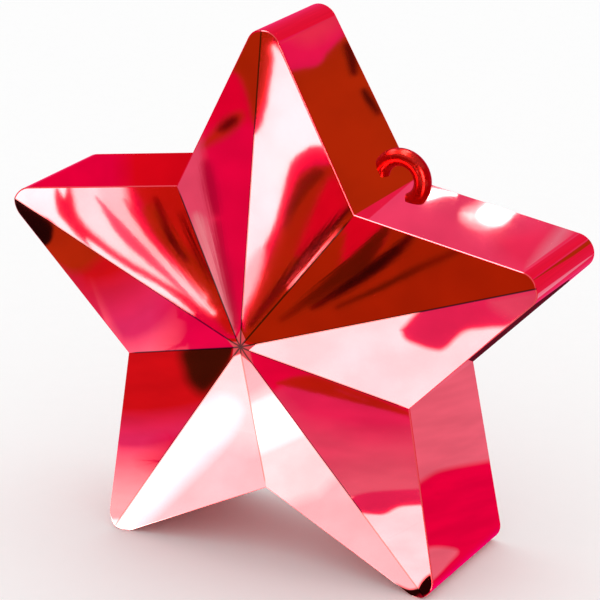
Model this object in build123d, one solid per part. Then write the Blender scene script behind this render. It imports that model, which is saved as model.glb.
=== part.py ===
from build123d import *
import os
from math import atan, atan2, cos, degrees, pi, radians, sin, sqrt, tan

# A five-pointed star that weighs down balloons: a moulded shell with a faceted front, filled with a cast
# block, closed by a cover at the back, with a hook for ribbons in the corner beside the top arm.
# Millimetres. X runs to the right, the front faces -Y and the star stands on the floor Z = 0 on two arms.

# Star outline, seen from the front
arm_count = 5
tip_reach = 60.0  # centre to the point where an arm's two sides would meet
valley_reach = 30.7  # centre to the inner corner between two arms
tip_round = 3.4  # radius that rounds each arm's end

# Shell
apex_rise = 9.2  # how far the facets' meeting point stands in front of the rim
gate_flat = 0.3  # depth of the flat spot that blunts the meeting point
body_depth = 25.6  # rim to back face, level with the star's centre
back_lean = 4.5  # degrees that the back face leans forward, so that the feet are deeper than the top
rim_round = 0.4  # edge between the facets and the sides
wall = 1.8

# Back cover, set into a step around the open back
cover_thick = 2.0
cover_lip = 0.9  # part of the wall left standing around the cover
cover_gap = 0.15  # clearance around the cover and its rib
rib_thick = 1.2
rib_height = 3.0

# Ballast, cast into the shell
ballast_gap = 0.2  # shrinkage away from the walls
ballast_headroom = 4.2  # space between the ballast and the cover

# Ribbon hook
hook_inset = 11.4  # back face, level with the star's centre, to the hook's middle plane
hook_radius = 1.62  # radius of its round section
hook_bend = 4.2  # radius of the bend, to the middle of the section
hook_stand = 3.55  # inner corner of the star to the centre of the bend
hook_foot = 57.0  # degrees that the bend turns on, past the direction of the side that it comes down to
hook_mouth = 0.3  # slit where the ribbon slips in, between the hook's end and the top arm
stake_radius = 1.3
stake_gap = 0.1  # radial clearance of the stake in its hole
head_radius = 2.3
head_thick = 1.0

# Working values
overrun = 5.0  # how far a cut reaches past what it cuts
least_round = 0.2  # smallest rounding kept on an arm's end that is drawn in

arm_angle = 2 * pi / arm_count
valley_across = valley_reach * sin(arm_angle / 2)
valley_up = valley_reach * cos(arm_angle / 2)
tip_half_angle = atan2(valley_across, tip_reach - valley_up)
side_reach = tip_reach * sin(tip_half_angle)  # centre to each side, square to it
facet_slope = atan(apex_rise / side_reach)
lean = radians(back_lean)

# The star's centre above the floor, and the rim's place that centres the whole depth on Y = 0
tip_centre = tip_reach - tip_round / sin(tip_half_angle)
centre_height = tip_centre * cos(arm_angle / 2) + tip_round
foot_depth = body_depth + centre_height * tan(lean)
rim_y = (apex_rise - gate_flat - foot_depth) / 2
far_depth = foot_depth + overrun
hook_depth = body_depth - hook_inset


def at(across, depth, up):
    """Point from its place in the star: right of the centre, behind the rim, above the centre."""
    return Vector(across, rim_y + depth, centre_height + up)


star_axis = Axis(at(0, 0, 0), (0, 1, 0))
front_plane = Plane(at(0, 0, 0), x_dir=(1, 0, 0), z_dir=(0, -1, 0))


def back_plane(step):
    """The leaning back face, moved a distance into the star; it looks to the back."""
    outward = Vector(0, cos(lean), sin(lean))
    return Plane(at(0, body_depth, 0) - outward * step, x_dir=(1, 0, 0), z_dir=outward)


def arm_block(inset, edge_round):
    """One arm, upright, as a wedge about the star's axis that reaches past the back.

    Its outside is drawn in by the inset, square to every face. An edge_round of zero leaves the rim sharp.
    """
    inset_share = (side_reach - inset) / side_reach
    tip = (0, inset_share * tip_reach)
    valley = (inset_share * valley_across, inset_share * valley_up)
    kite = front_plane * Polygon((0, 0), valley, tip, (-valley[0], valley[1]), align=None)
    arm = extrude(kite, amount=apex_rise + overrun) + extrude(kite, amount=-far_depth)
    end_edge = arm.edges().filter_by(Axis.Y).sort_by(Axis.Z)[-1]
    arm = fillet(end_edge, max(tip_round - inset, least_round))

    apex = at(0, inset / cos(facet_slope) - apex_rise, 0)
    ridge_end = at(0, inset * (1 - sin(facet_slope)) / cos(facet_slope), tip[1])
    for side in (-1, 1):
        valley_end = Vector(side * valley[0], ridge_end.Y, centre_height + valley[1])
        outward = (valley_end - apex).cross(ridge_end - apex) * side
        arm = split(arm, Plane(apex, z_dir=outward), keep=Keep.BOTTOM)

    if edge_round > 0:
        facets = [face for face in arm.faces() if face.normal_at().Y < -cos(pi / 4)]
        rim = [edge for face in facets for edge in face.edges() if edge.distance_to(apex) > edge_round]
        arm = fillet(rim, edge_round)
    return arm


def star_block(inset, edge_round=0):
    """The arms joined about the axis: faceted front, straight sides, no back yet."""
    arm = arm_block(inset, edge_round)
    arms = [arm.rotate(star_axis, degrees(arm_angle) * turn) for turn in range(arm_count)]
    return arms[0] + arms[1:]


def behind(solid, step):
    """What lies behind the back plane moved in by the step."""
    return split(solid, back_plane(step), keep=Keep.TOP)


def before(solid, step):
    """What lies in front of the back plane moved in by the step."""
    return split(solid, back_plane(step), keep=Keep.BOTTOM)


# The hook is drawn in the corner beside the top arm: first axis to the right across the corner, second
# axis out of the corner.
corner_turn = arm_angle / 2
corner = at(valley_across, hook_depth, valley_up)
hook_plane = Plane(corner, x_dir=(cos(corner_turn), 0, -sin(corner_turn)), z_dir=(0, -1, 0))
corner_half = corner_turn + tip_half_angle  # between the corner's middle line and each side

bend_off_side = hook_stand * sin(corner_half)
heel_along = sqrt((hook_bend + hook_radius) ** 2 - bend_off_side**2)
toe_along = bend_off_side / tan(radians(hook_foot))
root_along = hook_stand * cos(corner_half) + (heel_along + toe_along) / 2  # middle of the hook's footprint
root = hook_plane.from_local_coords((root_along * sin(corner_half), root_along * cos(corner_half), 0))
root_outward = hook_plane.from_local_coords((-cos(corner_half), sin(corner_half), 0)) - corner
seat_plane = Plane(root, x_dir=(0, 1, 0), z_dir=root_outward)

mouth_outward = hook_plane.from_local_coords((cos(corner_half), sin(corner_half), 0)) - corner
mouth_plane = Plane(corner + mouth_outward * hook_mouth, x_dir=(0, 1, 0), z_dir=mouth_outward)


def hook_arc():
    """The bend, open towards the corner, trimmed to the right arm's side and just off the top arm's side."""
    end_turn = corner_half + radians(hook_foot)
    bend_centre = hook_plane.from_local_coords((0, hook_stand, 0))
    start_place = (-hook_bend * sin(end_turn), hook_stand + hook_bend * cos(end_turn), 0)
    start = hook_plane.from_local_coords(start_place)
    across = (start - bend_centre).normalized()
    section = Plane(start, x_dir=across, z_dir=Vector(0, -1, 0).cross(across)) * Circle(hook_radius)
    bend = revolve(section, Axis(bend_centre, (0, 1, 0)), degrees(2 * end_turn))
    return split(split(bend, seat_plane, keep=Keep.TOP), mouth_plane, keep=Keep.TOP)


def stake(radius, length):
    """Round pin from the hook's seat into the right arm."""
    return extrude(seat_plane * Circle(radius), amount=-length)


def stake_head(growth):
    """Flattened end of the stake behind the wall, grown by a clearance."""
    head_plane = seat_plane.offset(growth - wall)
    return extrude(head_plane * Circle(head_radius + growth), amount=-head_thick - 2 * growth)


def make_front_shell():
    """Faceted front and sides, hollow to the back, with a step for the cover and a hole for the stake."""
    shell = before(star_block(0, rim_round), 0)
    shell = split(shell, front_plane.offset(apex_rise - gate_flat), keep=Keep.BOTTOM)
    shell = shell - star_block(wall)
    shell = shell - behind(star_block(cover_lip), cover_thick)
    return shell - stake(stake_radius + stake_gap, wall + overrun)


def make_ribbon_hook():
    """Bend that stands on the right arm, with a stake and a flattened head that hold it."""
    return hook_arc() + stake(stake_radius, wall) + stake_head(0)


def make_back_cover():
    """Flat star plate flush with the shell's back edge, and the rib that places it inside the walls."""
    plate = before(behind(star_block(cover_lip + cover_gap), cover_thick), 0)
    rib = star_block(wall + cover_gap) - star_block(wall + cover_gap + rib_thick)
    rib = before(behind(rib, cover_thick + rib_height), cover_thick)
    return plate + rib


def make_ballast():
    """Cast block that follows the inside of the shell, level with the back, around the stake's head."""
    block = before(star_block(wall + ballast_gap), cover_thick + ballast_headroom)
    return block - stake_head(ballast_gap)


makers = {
    "front_shell": make_front_shell,
    "ribbon_hook": make_ribbon_hook,
    "back_cover": make_back_cover,
    "ballast": make_ballast,
}

os.makedirs("parts", exist_ok=True)
for node, maker in makers.items():
    export_step(maker(), f"parts/{node}.step")
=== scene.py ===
from math import asin, atan, atan2, cos, pi, radians, sin, sqrt, tan

import bpy
from mathutils import Matrix, Vector, noise


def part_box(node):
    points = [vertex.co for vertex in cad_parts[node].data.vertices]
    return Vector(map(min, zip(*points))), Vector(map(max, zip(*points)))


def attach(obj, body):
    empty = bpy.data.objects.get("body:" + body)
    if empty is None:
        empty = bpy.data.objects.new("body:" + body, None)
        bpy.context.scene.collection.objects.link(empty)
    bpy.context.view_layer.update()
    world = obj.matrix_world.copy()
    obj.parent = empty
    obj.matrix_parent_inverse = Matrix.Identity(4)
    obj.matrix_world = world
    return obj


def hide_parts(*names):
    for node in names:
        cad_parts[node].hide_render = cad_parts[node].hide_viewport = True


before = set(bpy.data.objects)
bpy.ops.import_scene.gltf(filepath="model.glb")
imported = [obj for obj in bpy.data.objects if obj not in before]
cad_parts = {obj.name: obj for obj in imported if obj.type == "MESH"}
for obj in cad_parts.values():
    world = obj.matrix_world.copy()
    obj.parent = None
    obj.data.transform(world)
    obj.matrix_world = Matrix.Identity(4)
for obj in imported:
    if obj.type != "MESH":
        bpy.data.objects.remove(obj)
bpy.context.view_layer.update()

# Sizes of the star, in metres
ARM_COUNT = 5
TIP_REACH = 0.0600  # centre to the point where an arm's two sides would meet
VALLEY_REACH = 0.0307  # centre to the inner corner between two arms
TIP_ROUND = 0.0034
APEX_RISE = 0.0092
GATE_FLAT = 0.0003
BODY_DEPTH = 0.0256
BACK_LEAN = radians(4.5)
RIM_ROUND = 0.00024
WALL = 0.0018
COVER_LIP = 0.0009
COVER_THICK = 0.0020

# Small softness of the moulded edges
GATE_SOFT = 0.00004
BACK_ROUND = 0.00015
SHARP_ANGLE = radians(12)  # edges that turn by more than this stay crisp

# Shallow waves that moulding leaves in the flat faces
WAVE_LENGTH = 0.019
WAVE_HEIGHT = 0.000003
WAVE_START_SHARES = (0.05, 0.25)  # where a facet's waves set in, from the star's middle to its rim
WAVE_END_SHARES = (0.86, 0.98)  # and where they die away

# Ribbon hook
HOOK_RADIUS = 0.00162
HOOK_BEND = 0.0042
HOOK_STAND = 0.00355
HOOK_MOUTH = 0.0003
HOOK_INSET = 0.0114
HOOK_FOOT = radians(57)  # how far the bend turns on past the direction of each side
HOOK_SINK = 0.0001  # how far its root reaches under the shell's skin

# Photograph's camera
IMAGE_SIZE = 600
FOCAL_PIXELS = 2875.4
SENSOR_WIDTH = 36.0
CAMERA_AZIMUTH = radians(28.72)
CAMERA_ELEVATION = radians(19.98)
CAMERA_ROLL = radians(-0.18)
CAMERA_DISTANCE = 0.5186
CAMERA_BESIDE = 0.0063  # how far the line of sight passes to the right of the star's centre
CAMERA_ABOVE = 0.00563  # and how far above it
NEAR_CLIP = 0.01

# Values that follow from the sizes
ARM_ANGLE = 2 * pi / ARM_COUNT
HALF_ARM = ARM_ANGLE / 2
VALLEY = Vector((VALLEY_REACH * sin(HALF_ARM), VALLEY_REACH * cos(HALF_ARM)))
TIP_HALF_ANGLE = atan2(VALLEY.x, TIP_REACH - VALLEY.y)
SIDE_REACH = TIP_REACH * sin(TIP_HALF_ANGLE)
FACET_SLOPE = atan(APEX_RISE / SIDE_REACH)
TIP_CENTRE = TIP_REACH - TIP_ROUND / sin(TIP_HALF_ANGLE)
VALLEY_LIMIT = VALLEY_REACH + RIM_ROUND  # places nearer to the centre are inner corners

shell_low, shell_high = (Vector(corner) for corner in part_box("front_shell"))
RIM_Y = shell_low.y + APEX_RISE - GATE_FLAT
CENTRE_HEIGHT = shell_high.z - TIP_CENTRE - TIP_ROUND
STAR_CENTRE = Vector((0, RIM_Y, CENTRE_HEIGHT))


def turned(direction, angle):
    """A direction in the star's plane, first across and then up, turned clockwise seen from the front."""
    c, s = cos(angle), sin(angle)
    return Vector((direction.x * c + direction.y * s, direction.y * c - direction.x * s))


def side_normal(arm, side):
    """Outward direction of an arm's side in the star's plane: side -1 is before the tip, 1 after it."""
    return turned(Vector((0, 1)), arm * ARM_ANGLE + side * (pi / 2 - TIP_HALF_ANGLE))


def soft_max(a, b, soft):
    return (a + b) / 2 + sqrt(((a - b) / 2) ** 2 + soft**2)


def smooth_step(low, high, value):
    t = min(max((value - low) / (high - low), 0), 1)
    return t * t * (3 - 2 * t)


def wave(place):
    """Height of the moulding waves at a place, between -1 and 1."""
    return noise.noise(place / WAVE_LENGTH)


def mesh_object(name, points, faces, sharp_angle):
    mesh = bpy.data.meshes.new(name)
    mesh.from_pydata(points, [], faces)
    mesh.validate()
    mesh.shade_smooth()
    mesh.set_sharp_from_angle(angle=sharp_angle)
    piece = bpy.data.objects.new(name, mesh)
    bpy.context.scene.collection.objects.link(piece)
    return piece


# Shell

SIDE_SHARES = (
    0.008, 0.02, 0.04, 0.07, 0.12, 0.18, 0.25, 0.33, 0.41, 0.5, 0.59, 0.67, 0.75, 0.83, 0.9, 0.95, 0.98,
)
ARC_STEPS = 9
FACET_RINGS = 34
FACET_RING_POWER = 1.5
RIM_STEPS = 8
SIDE_STEPS = 14
BACK_STEPS = 8
EDGE_SHARE = 0.997  # a last line close to each edge keeps the faces flat up to it


def half_arm_outline():
    """Places along the right half of an upright arm, from its corner to its tip, with outward directions."""
    normal = side_normal(0, 1)
    mitre = VALLEY.normalized() / VALLEY.normalized().dot(normal)
    tangent = Vector((0, TIP_CENTRE)) + TIP_ROUND * normal
    outline = [(VALLEY, mitre)]
    outline += [(VALLEY.lerp(tangent, share), normal) for share in SIDE_SHARES]
    for step in range(ARC_STEPS + 1):
        angle = TIP_HALF_ANGLE + (pi / 2 - TIP_HALF_ANGLE) * step / ARC_STEPS
        outward = Vector((cos(angle), sin(angle)))
        outline.append((Vector((0, TIP_CENTRE)) + TIP_ROUND * outward, outward))
    return outline


def star_outline():
    """Every place around the star once, clockwise, as (arm, side, place, outward direction)."""
    half = half_arm_outline()
    flip = Vector((-1, 1))
    around = []
    for arm in range(ARM_COUNT):
        turn = arm * ARM_ANGLE
        for place, outward in half:
            around.append((arm, -1, turned(place * flip, turn), turned(outward * flip, turn)))
        for place, outward in half[-2:0:-1]:
            around.append((arm, 1, turned(place, turn), turned(outward, turn)))
    return around


def facet_depth(arm, side, place):
    """How far behind the rim plane the faceted front lies at a place."""
    reach = place.dot(side_normal(arm, side))
    return soft_max(reach * tan(FACET_SLOPE) - APEX_RISE, GATE_FLAT - APEX_RISE, GATE_SOFT)


def back_depth(place, step):
    """Depth of the leaning back plane at a place, moved into the star by a step."""
    return BODY_DEPTH - place.y * tan(BACK_LEAN) - step / cos(BACK_LEAN)


def star_point(place, depth):
    return STAR_CENTRE + Vector((place.x, depth, place.y))


def shell_section(arm, side, place, outward):
    """Points from the middle of the front, over the rim and down the side, to the middle of the inside."""
    normal = side_normal(arm, side)
    slope = FACET_SLOPE if place.length < VALLEY_LIMIT else atan(tan(FACET_SLOPE) * outward.dot(normal))
    plane_depth = place.dot(normal) * tan(FACET_SLOPE) - APEX_RISE
    round_depth = plane_depth - RIM_ROUND * tan(slope) + RIM_ROUND / cos(slope)
    edge = place - outward * RIM_ROUND * (1 - sin(slope))
    edge_lift = facet_depth(arm, side, edge) - (round_depth - RIM_ROUND * cos(slope))

    section = []
    shares = [(ring / FACET_RINGS) ** FACET_RING_POWER for ring in range(1, FACET_RINGS)]
    for share in (*shares, EDGE_SHARE, 1):
        spot = edge * share
        fade = smooth_step(*WAVE_START_SHARES, share) * (1 - smooth_step(*WAVE_END_SHARES, share))
        lift = fade * WAVE_HEIGHT * wave(Vector((spot.x, 0, spot.y)))
        section.append(star_point(spot, facet_depth(arm, side, spot) + lift))
    for step in range(1, RIM_STEPS + 1):
        angle = slope + (pi / 2 - slope) * step / RIM_STEPS
        inset = RIM_ROUND * (1 - sin(angle))
        lift = edge_lift * (1 - step / RIM_STEPS)
        section.append(star_point(place - outward * inset, round_depth - RIM_ROUND * cos(angle) + lift))
    last = back_depth(place, BACK_ROUND)
    for share in (1 - EDGE_SHARE, *(step / SIDE_STEPS for step in range(1, SIDE_STEPS)), EDGE_SHARE, 1):
        depth = round_depth + (last - round_depth) * share
        fade = sin(pi * share)
        dip = fade * WAVE_HEIGHT * (1 + wave(Vector((place.x, depth, place.y)))) / 2
        section.append(star_point(place - outward * dip, depth))
    for step in range(1, BACK_STEPS + 1):
        angle = pi / 2 * step / BACK_STEPS
        spot = place - outward * BACK_ROUND * (1 - cos(angle))
        section.append(star_point(spot, back_depth(spot, BACK_ROUND * (1 - sin(angle)))))
    for inset, step in ((COVER_LIP, 0), (COVER_LIP, COVER_THICK), (WALL, COVER_THICK)):
        spot = place - outward * inset
        section.append(star_point(spot, back_depth(spot, step)))
    inner = place - outward * WALL
    section.append(star_point(inner, WALL * (1 - sin(FACET_SLOPE)) / cos(FACET_SLOPE)))
    return section


def build_shell():
    """Closed skin of the moulded shell, drawn section by section around the star."""
    sections = [shell_section(*spot) for spot in star_outline()]
    count, length = len(sections), len(sections[0])
    points = [point for section in sections for point in section]
    front_middle, inside_middle = len(points), len(points) + 1
    points.append(star_point(Vector((0, 0)), GATE_FLAT - APEX_RISE))
    points.append(star_point(Vector((0, 0)), WALL / cos(FACET_SLOPE) - APEX_RISE))
    faces = []
    for index in range(count):
        here, after = index * length, (index + 1) % count * length
        faces.append((front_middle, here, after))
        faces += [(here + k, here + k + 1, after + k + 1, after + k) for k in range(length - 1)]
        faces.append((here + length - 1, inside_middle, after + length - 1))
    return mesh_object("star_shell", points, faces, SHARP_ANGLE)


# Ribbon hook

HOOK_RING = 40
HOOK_TURNS = 64
HOOK_SHARP_ANGLE = radians(40)
CORNER_HALF = HALF_ARM + TIP_HALF_ANGLE  # between the corner's middle line and each side
HOOK_OFF_SIDE = HOOK_STAND * sin(CORNER_HALF)


def hook_end_turn(reach, clearance):
    """Turn from straight out at which a line of the bend is down to a clearance from a side, or ends."""
    return CORNER_HALF + min(asin(min((HOOK_OFF_SIDE - clearance) / reach, 1)), HOOK_FOOT)


def build_hook():
    """Round-section bend that stands on the right arm and ends flat, just off the top arm."""
    out = Vector((sin(HALF_ARM), 0, cos(HALF_ARM)))
    across = Vector((cos(HALF_ARM), 0, -sin(HALF_ARM)))
    centre = star_point(VALLEY, BODY_DEPTH - HOOK_INSET) + out * HOOK_STAND
    points = []
    for step in range(HOOK_TURNS + 1):
        for k in range(HOOK_RING):
            angle = 2 * pi * k / HOOK_RING
            reach = HOOK_BEND + HOOK_RADIUS * cos(angle)
            first, last = -hook_end_turn(reach, HOOK_MOUTH), hook_end_turn(reach, -HOOK_SINK)
            turn = first + (last - first) * step / HOOK_TURNS
            radial = out * cos(turn) + across * sin(turn)
            points.append(centre + radial * reach + Vector((0, HOOK_RADIUS * sin(angle), 0)))
    faces = []
    for ring in range(HOOK_TURNS):
        for k in range(HOOK_RING):
            a, b = ring * HOOK_RING + k, ring * HOOK_RING + (k + 1) % HOOK_RING
            faces.append((a, b, b + HOOK_RING, a + HOOK_RING))
    faces.append(tuple(range(HOOK_RING))[::-1])
    faces.append(tuple(HOOK_TURNS * HOOK_RING + k for k in range(HOOK_RING)))
    return mesh_object("ribbon_hook_round", points, faces, HOOK_SHARP_ANGLE)


# Materials

SHELL_RED = (0.80, 0.002, 0.020)
SHELL_DEEP_RED = (0.72, 0.002, 0.014)
# The hook has the same finish as the shell; its darker reds are painted shade
HOOK_SHADED_RED = (0.43, 0.006, 0.008)
HOOK_SHADED_DEEP_RED = (0.34, 0.012, 0.003)
COVER_RED = (0.70, 0.004, 0.020)
COVER_DEEP_RED = (0.62, 0.004, 0.014)
COAT_INDEX = 1.7
COAT_ROUGHNESS = 0.03
SHELL_ROUGHNESS, SHELL_COAT = 0.04, 1.0
HOOK_ROUGHNESS, HOOK_COAT = 0.30, 0.05
COVER_ROUGHNESS, COVER_COAT = 0.16, 1.0

# Flow lines that run out from the middle of the front, strongest beside the two upper valleys
FLOW_COUNT = 28.0  # waves for each radian around the middle
FLOW_DRIFT = 70.0  # change along a line, for each metre
FLOW_DETAIL = 3
FLOW_HEIGHT = 0.0000018
FLOW_FAINT_SHARE = 0.12  # what is left of them away from the upper valleys
FLOW_SPREAD = radians(30)
FLOW_START = 0.004
FLOW_FULL = 0.018
RIM_FADE = 0.0008

# Painted shade: dark lines painted along the ridges and valleys of the front
CREASE_PAINTED_SHADE = (0.10, 0.004, 0.004)
CREASE_HALF = 0.00008
CREASE_FADE = 0.00022
CREASE_DULL_SHARE = 0.5  # part of the gloss that is lost in them

# Fine orange peel, and slow drifts of tint and gloss
PEEL_LENGTH = 0.0022
PEEL_HEIGHT = 0.0000008
PEEL_DETAIL = 2
DRIFT_LENGTH = 0.016
DRIFT_DETAIL = 2
DRIFT_RANGE = (0.3, 0.7)
GLOSS_DRIFT_SHARE = 0.2


def new_material(name):
    material = bpy.data.materials.new(name)
    material.use_nodes = True
    return material, material.node_tree.nodes["Principled BSDF"]


def new_node(material, kind, settings=None, inputs=None):
    """Adds a node; each of its inputs takes a value or another node's output."""
    tree = material.node_tree
    node = tree.nodes.new("ShaderNode" + kind)
    for key, value in (settings or {}).items():
        setattr(node, key, value)
    for key, value in (inputs or {}).items():
        if isinstance(value, bpy.types.NodeSocket):
            tree.links.new(value, node.inputs[key])
        else:
            node.inputs[key].default_value = value
    return node


def calc(material, operation, *values):
    node = new_node(material, "Math", {"operation": operation}, dict(enumerate(values)))
    return node.outputs["Value"]


def ramp(material, value, low, high, first, last):
    """The value's way from low to high, smoothed, as a way from first to last."""
    inputs = {"Value": value, "From Min": low, "From Max": high, "To Min": first, "To Max": last}
    return new_node(material, "MapRange", {"interpolation_type": "SMOOTHSTEP"}, inputs).outputs["Result"]


def object_place(material):
    return new_node(material, "TexCoord").outputs["Object"]


def noise_at(material, place, scale, detail):
    inputs = {"Vector": place, "Scale": scale, "Detail": detail}
    return new_node(material, "TexNoise", inputs=inputs).outputs["Fac"]


def bumped(material, height, distance, normal=None):
    inputs = {"Height": height, "Distance": distance}
    if normal is not None:
        inputs["Normal"] = normal
    return new_node(material, "Bump", inputs=inputs).outputs["Normal"]


def star_polar(material):
    """Angle clockwise from straight up, distance from the star's axis, and depth behind the rim."""
    inputs = {0: object_place(material), 1: STAR_CENTRE}
    offset = new_node(material, "VectorMath", {"operation": "SUBTRACT"}, inputs).outputs["Vector"]
    axes = new_node(material, "SeparateXYZ", inputs={"Vector": offset}).outputs
    angle = calc(material, "ARCTAN2", axes["X"], axes["Z"])
    across, up = (calc(material, "POWER", axes[axis], 2) for axis in ("X", "Z"))
    radius = calc(material, "SQRT", calc(material, "ADD", across, up))
    return angle, radius, axes["Y"]


def flow_lines(material, angle, radius):
    """Height of the flow lines over the star's front, between 0 and 1."""
    polar = new_node(material, "CombineXYZ", inputs={
        "X": calc(material, "MULTIPLY", angle, FLOW_COUNT),
        "Y": calc(material, "MULTIPLY", radius, FLOW_DRIFT),
    }).outputs["Vector"]
    lines = noise_at(material, polar, 1, FLOW_DETAIL)
    off_top = calc(material, "ABSOLUTE", angle)
    off_valley = calc(material, "ABSOLUTE", calc(material, "SUBTRACT", off_top, HALF_ARM))
    share = ramp(material, off_valley, 0, FLOW_SPREAD, 1, FLOW_FAINT_SHARE)
    share = calc(material, "MULTIPLY", share, ramp(material, radius, FLOW_START, FLOW_FULL, 0, 1))
    return calc(material, "MULTIPLY", lines, share)


def painted_crease_lines(material, angle, radius):
    """1 along the ridges and valleys of the star's front, where dark lines of painted shade go, 0 off them.
    """
    off_line = calc(material, "PINGPONG", angle, HALF_ARM / 2)
    return ramp(material, calc(material, "MULTIPLY", radius, off_line), CREASE_HALF, CREASE_FADE, 1, 0)


def metallised(name, color, deep_color, roughness, coat, star_front=False):
    """Tinted mirror finish over moulded plastic, under a clear lacquer."""
    material, shader = new_material(name)
    links = material.node_tree.links
    place = object_place(material)
    drift = noise_at(material, place, 1 / DRIFT_LENGTH, DRIFT_DETAIL)
    inputs = {"Fac": drift, "Color1": (*color, 1), "Color2": (*deep_color, 1)}
    tint = new_node(material, "MixRGB", inputs=inputs).outputs["Color"]
    shader.inputs["Coat Weight"].default_value = coat
    normal = None
    if star_front:
        angle, radius, depth = star_polar(material)
        on_front = ramp(material, depth, -RIM_FADE, 0, 1, 0)
        flow = calc(material, "MULTIPLY", flow_lines(material, angle, radius), on_front)
        normal = bumped(material, flow, FLOW_HEIGHT)
        # Painted shade: darkens the ridge and valley lines and thins the coat there
        painted_crease_shade = calc(material, "MULTIPLY", painted_crease_lines(material, angle, radius), on_front)
        inputs = {"Fac": painted_crease_shade, "Color1": tint, "Color2": (*CREASE_PAINTED_SHADE, 1)}
        tint = new_node(material, "MixRGB", inputs=inputs).outputs["Color"]
        links.new(ramp(material, painted_crease_shade, 0, 1, coat, coat * CREASE_DULL_SHARE), shader.inputs["Coat Weight"])
    peel = noise_at(material, place, 1 / PEEL_LENGTH, PEEL_DETAIL)
    normal = bumped(material, peel, PEEL_HEIGHT, normal)
    matt, bright = roughness * (1 + GLOSS_DRIFT_SHARE), roughness * (1 - GLOSS_DRIFT_SHARE)
    links.new(tint, shader.inputs["Base Color"])
    links.new(ramp(material, drift, *DRIFT_RANGE, bright, matt), shader.inputs["Roughness"])
    links.new(normal, shader.inputs["Normal"])
    links.new(normal, shader.inputs["Coat Normal"])
    shader.inputs["Metallic"].default_value = 1
    shader.inputs["Coat IOR"].default_value = COAT_INDEX
    shader.inputs["Coat Roughness"].default_value = COAT_ROUGHNESS
    return material


PLASTER_LIGHT = (0.82, 0.80, 0.76)
PLASTER_DARK = (0.70, 0.68, 0.63)
PLASTER_CLOUD_DETAIL = 4
PLASTER_GRAIN = 0.0009
PLASTER_GRAIN_DETAIL = 5
PLASTER_HEIGHT = 0.00015
MATT = 0.9


def plaster():
    """Matt cast plaster with fine grain and cloudy tint."""
    material, shader = new_material("cast_plaster")
    place = object_place(material)
    cloud = noise_at(material, place, 1 / DRIFT_LENGTH, PLASTER_CLOUD_DETAIL)
    grain = noise_at(material, place, 1 / PLASTER_GRAIN, PLASTER_GRAIN_DETAIL)
    inputs = {"Fac": cloud, "Color1": (*PLASTER_LIGHT, 1), "Color2": (*PLASTER_DARK, 1)}
    tint = new_node(material, "MixRGB", inputs=inputs).outputs["Color"]
    links = material.node_tree.links
    links.new(tint, shader.inputs["Base Color"])
    links.new(bumped(material, grain, PLASTER_HEIGHT), shader.inputs["Normal"])
    shader.inputs["Roughness"].default_value = MATT
    return material


def dress(piece, material):
    piece.data.materials.clear()
    piece.data.materials.append(material)


# Camera


def camera_axes():
    """Right, up and back directions of the photograph's camera."""
    back = Vector((sin(CAMERA_AZIMUTH) * cos(CAMERA_ELEVATION), -cos(CAMERA_AZIMUTH) * cos(CAMERA_ELEVATION),
                   sin(CAMERA_ELEVATION)))
    right = Vector((0, 0, 1)).cross(back).normalized()
    up = back.cross(right)
    tilt = Matrix.Rotation(CAMERA_ROLL, 3, back)
    return tilt @ right, tilt @ up, back


VIEW_RIGHT, VIEW_UP, VIEW_BACK = camera_axes()
CAMERA_PLACE = STAR_CENTRE + VIEW_RIGHT * CAMERA_BESIDE + VIEW_UP * CAMERA_ABOVE + VIEW_BACK * CAMERA_DISTANCE


def build_camera():
    data = bpy.data.cameras.new("camera")
    data.sensor_width = SENSOR_WIDTH
    data.lens = SENSOR_WIDTH * FOCAL_PIXELS / IMAGE_SIZE
    data.clip_start = NEAR_CLIP
    camera = bpy.data.objects.new("camera", data)
    turn = Matrix((VIEW_RIGHT, VIEW_UP, VIEW_BACK)).transposed().to_4x4()
    camera.matrix_world = Matrix.Translation(CAMERA_PLACE) @ turn
    bpy.context.scene.collection.objects.link(camera)
    bpy.context.scene.camera = camera


# Studio: floor and white surroundings

FLOOR_HALF = 1.5
PAPER_LIGHT = (0.990, 0.990, 0.990)
PAPER_DARK = (0.975, 0.975, 0.975)
PAPER_GRAIN = 0.004
PAPER_DETAIL = 3


def build_floor():
    corners = [(-FLOOR_HALF, -FLOOR_HALF, 0), (FLOOR_HALF, -FLOOR_HALF, 0), (FLOOR_HALF, FLOOR_HALF, 0),
               (-FLOOR_HALF, FLOOR_HALF, 0)]
    floor = mesh_object("floor", corners, [(0, 1, 2, 3)], pi)
    material, shader = new_material("floor_paper")
    grain = noise_at(material, object_place(material), 1 / PAPER_GRAIN, PAPER_DETAIL)
    inputs = {"Fac": grain, "Color1": (*PAPER_LIGHT, 1), "Color2": (*PAPER_DARK, 1)}
    tint = new_node(material, "MixRGB", inputs=inputs).outputs["Color"]
    material.node_tree.links.new(tint, shader.inputs["Base Color"])
    shader.inputs["Roughness"].default_value = MATT
    shader.inputs["Specular IOR Level"].default_value = 0
    dress(floor, material)


def build_world():
    world = bpy.data.worlds.new("studio")
    bpy.context.scene.world = world
    world.use_nodes = True
    world.node_tree.nodes["Background"].inputs["Color"].default_value = (1, 1, 1, 1)


# Studio: soft boxes, cards and flags that the mirror faces show
# Each stands in front of the face that shows it, or lies on the table. Outlines are in the photograph's
# pixels, where the face shows the card, and are carried on along the mirrored lines of sight.

CARD_REACH = 0.250  # how far an upright card stands from its face
CARD_STEP = 0.001  # how much nearer each further card of that face stands
TABLE_LIFT = 0.00006  # height of the lowest card on the table
TABLE_STEP = 0.000005
CARD_CLOUD = 0.012  # size of the faint clouds in a card's glow
CARD_DETAIL = 3
CLOUD_RANGE = (0.3, 0.7)
CLOUD_GLOW = (0.92, 1.08)
LOOP_STEPS = 6

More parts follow.
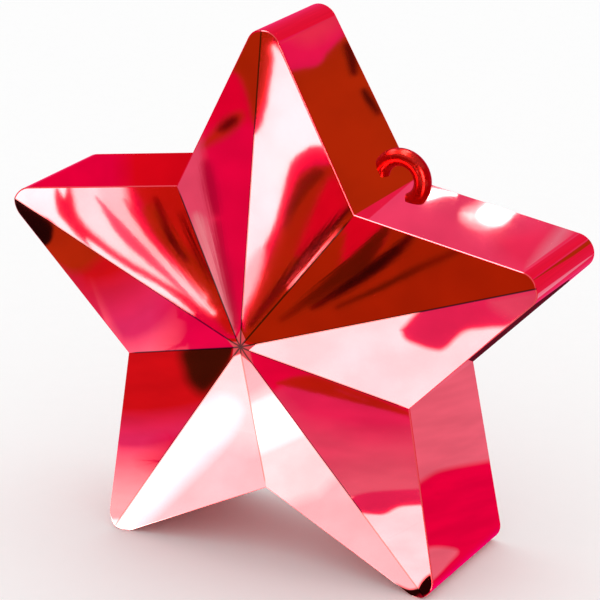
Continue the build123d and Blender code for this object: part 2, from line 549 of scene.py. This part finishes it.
# Light that a card gives off; what a face shows of it is tinted by the finish
WHITE = (14.0, 14.0, 13.0)
SHEET = (12.0, 12.0, 10.6)
PALE = (9.5, 9.5, 8.4)
ROSE = (6.8, 6.8, 6.2)
FAINT = (3.7, 3.7, 3.5)
SOFT_ROSE = (4.4, 4.4, 4.2)
PALE_PINK = (1.1, 2.4, 2.5)
LIGHT_PINK = (1.0, 1.1, 1.5)
PINK = (1.0, 0.65, 1.20)
DEEP_PINK = (1.0, 0.20, 0.87)
CRIMSON = (0.98, 0.01, 0.42)
SCARLET = (0.95, 0.0, 0.24)
DARK_CRIMSON = (0.50, 0.01, 0.26)
BRIGHT_RED = (0.87, 0.01, 0.13)
RED = (0.78, 0.04, 0.06)
RUST_RED = (0.68, 0.08, 0.035)
RUST = (0.58, 0.12, 0.03)
RUST_BROWN = (0.54, 0.14, 0.02)
BROWN = (0.47, 0.16, 0.012)
DARK_BROWN = (0.12, 0.06, 0.005)
BLACK = (0.02, 0.012, 0.01)
OVAL_BLACK = (0.06, 0.04, 0.01)
SIDE_FLAT = (0.95, 0.04, 0.20)
SHADE = (0.10, 0.006, 0.015)
SIDE_CRIMSON = (0.97, 0.05, 0.44)
SIDE_BROWN = (0.50, 0.125, 0.012)
SIDE_PINK = (1.0, 0.17, 0.44)
SIDE_DEEP_PINK = (1.0, 0.09, 0.31)
SIDE_PALE = (1.0, 0.56, 0.80)
SIDE_RED = (0.97, 0.0, 0.20)
SLANT_CRIMSON = (0.87, 0.0, 0.07)
SLANT_RED = (0.72, 0.003, 0.014)

TOP_RIGHT = ("facet", 0, 1)
TOP_LEFT = ("facet", 0, -1)
RIGHT_UPPER = ("facet", 1, -1)
RIGHT_LOWER = ("facet", 1, 1)
RIGHT_FOOT_OUTER = ("facet", 2, -1)
RIGHT_FOOT_INNER = ("facet", 2, 1)
LEFT_FOOT_INNER = ("facet", 3, -1)
LEFT_FOOT_OUTER = ("facet", 3, 1)
LEFT_LOWER = ("facet", 4, -1)
LEFT_UPPER = ("facet", 4, 1)
TOP_WALL = ("wall", 0, 1)
RIGHT_WALL = ("wall", 1, -1)
RIGHT_FOOT_WALL = ("wall", 2, -1)
LEFT_WALL = ("wall", 4, 1)
MIDDLE = ("middle", 0, 1)

STREAK_END_SHARE = 0.3  # a long card's width at its ends


def streak(width, *places):
    """Outline of a long card along a row of places, narrow at both ends."""
    row = [Vector(place) for place in places]
    left, right = [], []
    for index, place in enumerate(row):
        ahead = (row[min(index + 1, len(row) - 1)] - row[max(index - 1, 0)]).normalized()
        swell = sin(pi * (index + 1 / 2) / len(row))
        half = width / 2 * (STREAK_END_SHARE + (1 - STREAK_END_SHARE) * swell)
        left.append(place + Vector((ahead.y, -ahead.x)) * half)
        right.append(place - Vector((ahead.y, -ahead.x)) * half)
    return left + right[::-1]


# Each group: name, face, whether it is on the table, then its cards from back to front as tone, softness
# in pixels and outline
CARD_GROUPS = (
    ("top_right", TOP_RIGHT, False, (
        (BROWN, 2, ((225, 0), (330, 0), (400, 225), (240, 380), (200, 345))),
        (CRIMSON, 3, ((281, 42), (345, 140), (332, 163), (312, 167), (297, 180), (288, 206), (278, 236),
                      (266, 266), (252, 298), (240, 330), (230, 330), (240, 250), (248, 138), (259, 112),
                      (267, 88), (272, 58))),
        (SHEET, 2.5, ((279, 50), (350, 150), (318, 145), (303, 151), (292, 161), (286, 176), (281, 198),
                      (272, 228), (261, 251), (252, 286), (246, 300), (236, 320), (236, 250), (244, 150),
                      (258, 131), (265, 114), (270, 88), (274, 62))),
        (ROSE, 8, ((262, 247), (259, 274), (247, 302), (236, 312), (244, 270))),
        (BRIGHT_RED, 8, ((332, 175), (348, 206), (318, 236), (296, 256), (308, 221))),
        (DARK_BROWN, 6, ((319, 168), (324, 174), (306, 192), (292, 214), (284, 228), (288, 208),
                         (296, 188), (305, 174))),
        (BLACK, 5, streak(9, (352, 206), (330, 228), (310, 250), (290, 274), (268, 302), (250, 325))),
        (WHITE, 1, streak(3, (341, 234), (318, 259), (293, 286))),
    )),
    ("right_upper", RIGHT_UPPER, False, (
        (BROWN, 2, ((200, 345), (360, 190), (600, 280), (560, 300), (240, 390))),
        (BRIGHT_RED, 6, ((348, 200), (387, 222), (378, 250), (355, 266), (318, 296), (342, 258))),
        (BLACK, 5, streak(8, (416, 230), (394, 255), (362, 279), (316, 306))),
        (DARK_BROWN, 4, streak(6, (392, 220), (370, 258), (330, 288), (285, 318))),
        (DARK_BROWN, 4, streak(6, (470, 245), (424, 266), (384, 286), (340, 306))),
    )),
    ("top_left", TOP_LEFT, False, (
        (CRIMSON, 2, ((200, 0), (300, 0), (260, 380), (220, 380), (140, 180))),
        (SCARLET, 14, ((205, 55), (266, 55), (258, 118), (240, 122), (200, 122))),
        (BROWN, 5, ((232, 20), (285, 10), (268, 60), (264, 112), (255, 127), (246, 94), (236, 73),
                    (216, 66))),
        (RUST, 8, ((239, 111), (243, 120), (226, 137), (200, 148), (219, 124))),
        (BLACK, 6, ((236, 116), (237, 122), (229, 129), (220, 132), (219, 128), (227, 119))),
        (PINK, 10, ((150, 186), (194, 130), (206, 185), (214, 225), (225, 280), (238, 340), (225, 356),
                    (185, 290))),
        (PALE_PINK, 8, ((194, 222), (204, 220), (216, 262), (233, 325), (238, 344), (216, 300))),
        (DARK_CRIMSON, 7, streak(12, (206, 162), (209, 178), (212, 194), (216, 214))),
        (DARK_CRIMSON, 7, streak(9, (217, 225), (222, 255), (229, 290), (237, 328))),
    )),
    ("left_upper", LEFT_UPPER, False, (
        (CRIMSON, 2, ((-30, 150), (200, 150), (260, 360), (225, 380), (-30, 240))),
        (RUST_RED, 6, ((133, 170), (196, 170), (250, 345), (232, 342), (196, 292), (164, 250),
                       (142, 205))),
        (BROWN, 6, streak(22, (148, 210), (172, 248), (192, 272), (216, 302))),
        (SHEET, 1.5, ((-10, 205), (5, 170), (62, 170), (64, 201), (62, 212), (73, 228), (93, 243),
                      (126, 267), (165, 290), (194, 315), (170, 300), (125, 273), (85, 248), (60, 229),
                      (47, 218), (15, 207))),
        (CRIMSON, 1, streak(3, (56, 186), (57, 207), (66, 222), (89, 246))),
        (PALE, 4, ((73, 170), (112, 170), (122, 204), (145, 238), (180, 275), (215, 315), (190, 297),
                   (150, 273), (117, 252), (83, 222), (74, 198))),
        (ROSE, 8, ((100, 168), (120, 168), (133, 217), (171, 262), (207, 301), (158, 266), (122, 236),
                   (101, 200))),
        (PINK, 2, streak(3, (98, 200), (120, 236), (150, 264), (190, 297))),
        (CRIMSON, 2, streak(3, (126, 203), (150, 240), (182, 274), (202, 296))),
        (BLACK, 2, streak(6, (156, 200), (170, 236), (186, 260))),
        (BLACK, 2, streak(6, (182, 214), (196, 248), (212, 280))),
    )),
    ("left_lower", LEFT_LOWER, True, (
        (RED, 2, ((-5, 190), (246, 347), (235, 356), (115, 362), (0, 220))),
        (CRIMSON, 16, ((96, 250), (160, 290), (240, 341), (226, 347), (175, 339), (130, 326),
                       (104, 294))),
    )),
    ("left_foot_outer", LEFT_FOOT_OUTER, True, (
        (FAINT, 2, ((118, 343), (252, 338), (246, 352), (116, 537), (100, 530))),
        (DEEP_PINK, 56, ((100, 320), (260, 320), (262, 360), (195, 458), (90, 458))),
        (RED, 30, ((100, 320), (260, 320), (262, 360), (205, 414), (90, 414))),
        (OVAL_BLACK, 12, ((185, 346), (248, 338), (232, 366), (208, 393), (193, 389), (184, 372))),
    )),
    ("left_lower_tip", LEFT_LOWER, True, (
        (CRIMSON, 36, ((176, 300), (250, 325), (256, 358), (176, 358), (170, 330))),
        (RUST_BROWN, 12, ((36, 208), (98, 248), (92, 264), (78, 272), (64, 270), (30, 246))),
        (BLACK, 3, ((-12, 180), (20, 200), (50, 222), (53, 233), (51, 241), (45, 246), (30, 250),
                    (-16, 214))),
    )),
    ("right_foot_outer", RIGHT_FOOT_OUTER, True, (
        (PINK, 2, ((232, 338), (418, 402), (440, 605), (422, 605))),
        (DEEP_PINK, 26, ((226, 330), (424, 400), (428, 428), (380, 436), (330, 428), (290, 412))),
        (LIGHT_PINK, 40, ((320, 478), (436, 470), (440, 570), (380, 560))),
        (CRIMSON, 6, ((232, 335), (428, 398), (426, 418), (400, 413), (370, 400), (345, 388), (325, 380),
                      (300, 379), (282, 386), (268, 388))),
        (RUST, 3, streak(6, (280, 383), (310, 378), (350, 391), (412, 415))),
        (PALE, 3, ((334, 486), (352, 506), (388, 535), (406, 523), (436, 506), (446, 620), (418, 620))),
        (BLACK, 3, ((421, 582), (434, 574), (438, 600), (416, 600))),
    )),
    ("right_lower", RIGHT_LOWER, True, (
        (PALE, 2, ((234, 345), (390, 316), (470, 302), (552, 286), (548, 296), (418, 420), (400, 410))),
        (DEEP_PINK, 5, ((434, 301), (404, 326), (402, 332), (408, 341), (434, 350), (446, 348),
                        (464, 332), (488, 328), (515, 324), (556, 295), (556, 279), (495, 290))),
        (PINK, 12, ((492, 300), (548, 290), (548, 300), (524, 322), (502, 314))),
    )),
    ("right_foot_inner", RIGHT_FOOT_INNER, True, (
        (SOFT_ROSE, 2, ((236, 338), (436, 606), (416, 612), (256, 490))),
        (BLACK, 3, ((394, 584), (410, 589), (428, 586), (432, 600), (398, 600))),
    )),
    ("left_foot_inner", LEFT_FOOT_INNER, True, (
        (ROSE, 16, ((238, 330), (280, 490), (90, 545))),
        (PALE, 30, ((226, 330), (254, 330), (268, 440), (215, 430), (190, 420))),
        (WHITE, 18, ((215, 398), (238, 408), (224, 440), (160, 505), (128, 534), (95, 534), (135, 470),
                     (180, 420))),
    )),
    ("middle", MIDDLE, True, (
        (CRIMSON, 2, ((234, 341), (246, 341), (246, 353), (234, 353))),
    )),
    ("top_wall", TOP_WALL, False, (
        (SIDE_CRIMSON, 2, ((250, 40), (300, -15), (370, 0), (425, 150), (412, 200), (360, 228),
                           (340, 215))),
        (SIDE_PINK, 16, ((278, 26), (312, -12), (352, 0), (340, 26), (312, 44), (292, 38))),
        (SIDE_BROWN, 4, ((255, 86), (297, 70), (318, 65), (328, 52), (348, 32), (368, 18), (430, 150),
                         (416, 200), (360, 236), (340, 225))),
        (BLACK, 5, streak(9, (346, 44), (351, 58), (354, 74))),
        (BLACK, 5, streak(7, (363, 90), (369, 100), (378, 113))),
    )),
    ("right_wall", RIGHT_WALL, False, (
        (SIDE_PINK, 2, ((330, 222), (400, 150), (440, 160), (612, 212), (625, 262), (545, 310),
                        (530, 290))),
        (SIDE_DEEP_PINK, 20, ((495, 236), (530, 230), (575, 225), (600, 240), (560, 280), (510, 262))),
        (SIDE_PALE, 12, streak(14, (570, 222), (557, 240), (545, 255), (532, 270))),
        (FAINT, 16, ((464, 215), (478, 208), (492, 200), (490, 224), (474, 223))),
        (WHITE, 8, ((500, 188), (490, 204), (479, 214), (485, 221), (497, 224), (507, 219), (513, 212),
                    (530, 198))),
        (WHITE, 3, ((426, 190), (440, 191), (452, 193), (457, 195), (446, 195), (436, 197),
                    (426, 199))),
    )),
    ("right_foot_wall", RIGHT_FOOT_WALL, True, (
        (SIDE_PALE, 2, ((395, 390), (480, 345), (512, 530), (432, 592), (415, 560))),
        (SIDE_RED, 6, ((392, 506), (412, 488), (432, 474), (450, 468), (488, 461), (520, 456),
                       (520, 540), (438, 604), (405, 576))),
        (SIDE_PALE, 5, ((424, 550), (457, 550), (448, 565), (430, 583))),
    )),
    ("left_wall", LEFT_WALL, False, (
        (SLANT_CRIMSON, 2, ((0, 190), (90, 130), (215, 125), (200, 200), (100, 200))),
        (SLANT_RED, 24, ((136, 100), (240, 100), (240, 220), (136, 220))),
    )),
)

# Large plain flats around the star, which its rounded edges and other sides show
FLAT_HALF = 0.700  # half the width of the flats behind and before the star
FLAT_BACK = 0.450  # how far flats stand behind it, before it and beside it
FLAT_FRONT = 0.650
FLAT_SIDE = 0.650
SIDE_FORWARD = 0.600  # how far forward the flats beside it reach
BACK_FLAT_HEIGHT = 0.700
FLAT_HEIGHT = 0.450
TABLE_FLAT_START = 0.020
TABLE_FLAT_LIFT = 0.00002

# Dark flag on the table behind the star, and two soft boxes, above it and to its right
FLAG_CORNER = (-0.032, 0.055, 0.00004)
FLAG_WIDTH, FLAG_LENGTH = 0.052, 0.090
OVERHEAD_CORNER = (-0.075, -0.150, 0.340)
OVERHEAD_WIDTH, OVERHEAD_LENGTH = 0.085, 0.350
RIGHT_BOX_CORNER = (0.350, -0.500, 0)
RIGHT_BOX_EDGE = (0.060, 0.200, 0)
RIGHT_BOX_HEIGHT = 0.300

# Each flat: name, a corner, the two edges that run from it, tone
WIDE_EDGE = (2 * FLAT_HALF, 0, 0)
SIDE_EDGE = (0, SIDE_FORWARD + FLAT_BACK, 0)
UP_EDGE = (0, 0, FLAT_HEIGHT)
FLATS = (
    ("back_flat", (-FLAT_HALF, FLAT_BACK, 0), WIDE_EDGE, (0, 0, BACK_FLAT_HEIGHT), SIDE_FLAT),
    ("table_flat", (-FLAT_HALF, TABLE_FLAT_START, TABLE_FLAT_LIFT), WIDE_EDGE,
     (0, FLAT_BACK - TABLE_FLAT_START, 0), SIDE_FLAT),
    ("table_flag", FLAG_CORNER, (FLAG_WIDTH, 0, 0), (0, FLAG_LENGTH, 0), SHADE),
    ("front_flat", (-FLAT_HALF, -FLAT_FRONT, 0), WIDE_EDGE, UP_EDGE, RUST_RED),
    ("left_flat", (-FLAT_SIDE, -SIDE_FORWARD, 0), SIDE_EDGE, UP_EDGE, BRIGHT_RED),
    ("right_flat", (FLAT_SIDE, -SIDE_FORWARD, 0), SIDE_EDGE, UP_EDGE, BRIGHT_RED),
    ("overhead_box", OVERHEAD_CORNER, (OVERHEAD_WIDTH, 0, 0), (0, OVERHEAD_LENGTH, 0), WHITE),
    ("right_box", RIGHT_BOX_CORNER, RIGHT_BOX_EDGE, (0, 0, RIGHT_BOX_HEIGHT), WHITE),
)


def sight_line(pixel):
    """Direction from the camera through a pixel of the photograph."""
    middle = IMAGE_SIZE / 2
    across, up = (pixel[0] - middle) / FOCAL_PIXELS, (middle - pixel[1]) / FOCAL_PIXELS
    return (VIEW_RIGHT * across + VIEW_UP * up - VIEW_BACK).normalized()


def face_plane(face):
    """A point of a facet or wall, and its outward normal."""
    kind, arm, side = face
    outward = side_normal(arm, side)
    if kind == "middle":
        return star_point(Vector((0, 0)), GATE_FLAT - APEX_RISE), Vector((0, -1, 0))
    if kind == "wall":
        return star_point(outward * SIDE_REACH, 0), Vector((outward.x, 0, outward.y))
    lean = outward * sin(FACET_SLOPE)
    return star_point(Vector((0, 0)), -APEX_RISE), Vector((lean.x, -cos(FACET_SLOPE), lean.y))


def face_middle(face):
    kind, arm, side = face
    tip = turned(Vector((0, TIP_CENTRE)), arm * ARM_ANGLE)
    valley = turned(VALLEY * Vector((side, 1)), arm * ARM_ANGLE)
    if kind == "wall":
        return star_point((tip + valley) / 2, BODY_DEPTH / 2)
    return star_point((tip + valley) / 3, -APEX_RISE / 3)


def mirrored_line(ahead, face):
    """Where a line of sight meets a face of the star, and the direction in which it goes on."""
    point, normal = face_plane(face)
    meeting = CAMERA_PLACE + ahead * ((point - CAMERA_PLACE).dot(normal) / ahead.dot(normal))
    return meeting, ahead - 2 * ahead.dot(normal) * normal


def smooth_loop(corners):
    """Closed curve through the corners of an outline."""
    count = len(corners)
    loop = []
    for index in range(count):
        a, b, c, d = (Vector(corners[(index + k) % count]) for k in (-1, 0, 1, 2))
        for step in range(LOOP_STEPS):
            t = step / LOOP_STEPS
            bend = (2 * a - 5 * b + 4 * c - d) * t**2 + (3 * b - a - 3 * c + d) * t**3
            loop.append((2 * b + (c - a) * t + bend) / 2)
    return loop


def grown_loop(loop, growth):
    """The loop moved outward by a number of pixels."""
    after = loop[1:] + loop[:1]
    before = loop[-1:] + loop[:-1]
    area = sum(a.x * b.y - b.x * a.y for a, b in zip(loop, after))
    facing = growth if area > 0 else -growth
    grown = []
    for place, previous, following in zip(loop, before, after):
        ahead = (following - previous).normalized()
        grown.append(place + Vector((ahead.y, -ahead.x)) * facing)
    return grown


def card_material(tone):
    """Cloudy glow in one tone that fades out across the card's soft edge and leaves the floor alone."""
    name = "card_" + "_".join(f"{part:g}" for part in tone)
    if name in bpy.data.materials:
        return bpy.data.materials[name]
    material, shader = new_material(name)
    tree = material.node_tree
    tree.nodes.remove(shader)
    cloud = noise_at(material, object_place(material), 1 / CARD_CLOUD, CARD_DETAIL)
    strength = ramp(material, cloud, *CLOUD_RANGE, *CLOUD_GLOW)
    inputs = {"Color": (*tone, 1), "Strength": strength}
    glow = new_node(material, "Emission", inputs=inputs).outputs["Emission"]
    clear = new_node(material, "BsdfTransparent").outputs["BSDF"]
    cover = new_node(material, "Attribute", {"attribute_name": "cover"}).outputs["Fac"]
    from_floor = new_node(material, "LightPath").outputs["Diffuse Depth"]
    share = calc(material, "MULTIPLY", cover, calc(material, "LESS_THAN", from_floor, 1))
    mix = new_node(material, "MixShader", inputs={"Fac": share, 1: clear, 2: glow})
    tree.links.new(mix.outputs["Shader"], tree.nodes["Material Output"].inputs["Surface"])
    material.cycles.emission_sampling = "NONE"
    return material


def stage_card(name, points, faces, tone, covers):
    """Glowing card that only mirror faces see; covers says how much of it each point shows."""
    card = mesh_object(name, points, faces, pi)
    cover = card.data.attributes.new("cover", "FLOAT", "POINT")
    for index, share in enumerate(covers):
        cover.data[index].value = share
    dress(card, card_material(tone))
    card.visible_camera = False
    card.visible_diffuse = False
    card.visible_transmission = False
    card.visible_shadow = False


def upright_plane(face, layer):
    """A point of the plane across the face's mirrored line of sight, and that plane's normal."""
    start, onward = mirrored_line((face_middle(face) - CAMERA_PLACE).normalized(), face)
    return start + onward * (CARD_REACH - layer * CARD_STEP), onward


def build_card(name, face, plane, tone, soft, outline):
    """Card with a soft edge, where the mirrored lines of sight through its outline meet a plane."""
    point, normal = plane
    loop = smooth_loop(outline)
    points = []
    for pixel in grown_loop(loop, soft / 2) + grown_loop(loop, -soft / 2):
        start, onward = mirrored_line(sight_line(pixel), face)
        points.append(start + onward * ((point - start).dot(normal) / onward.dot(normal)))
    count = len(loop)
    faces = [(k, (k + 1) % count, count + (k + 1) % count, count + k) for k in range(count)]
    faces.append(tuple(range(count, 2 * count)))
    stage_card(name, points, faces, tone, [0] * count + [1] * count)


def build_cards():
    """Every card, a face's later ones in front of its earlier ones, and the plain flats."""
    table_height = TABLE_LIFT
    for group, face, on_table, cards in CARD_GROUPS:
        for layer, (tone, soft, outline) in enumerate(cards):
            plane = upright_plane(face, layer)
            if on_table:
                plane = Vector((0, 0, table_height)), Vector((0, 0, 1))
                table_height += TABLE_STEP
            build_card(f"card_{group}_{layer}", face, plane, tone, soft, outline)
    for name, corner, across, along, tone in FLATS:
        first, across, along = Vector(corner), Vector(across), Vector(along)
        corners = [first, first + across, first + across + along, first + along]
        stage_card(name, corners, [(0, 1, 2, 3)], tone, [1] * len(corners))


shell = build_shell()
dress(shell, metallised("metallised_shell", SHELL_RED, SHELL_DEEP_RED, SHELL_ROUGHNESS, SHELL_COAT, True))
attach(shell, "root")
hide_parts("front_shell")

hook = build_hook()
dress(hook, metallised("metallised_hook", HOOK_SHADED_RED, HOOK_SHADED_DEEP_RED, HOOK_ROUGHNESS, HOOK_COAT))
hook.visible_glossy = False  # the faces beside it mirror the studio alone
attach(hook, "root")
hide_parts("ribbon_hook")

cover_finish = metallised("metallised_cover", COVER_RED, COVER_DEEP_RED, COVER_ROUGHNESS, COVER_COAT)
dress(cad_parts["back_cover"], cover_finish)
dress(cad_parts["ballast"], plaster())

build_floor()
build_world()
build_cards()
build_camera()
bpy.context.scene.view_settings.view_transform = "Standard"
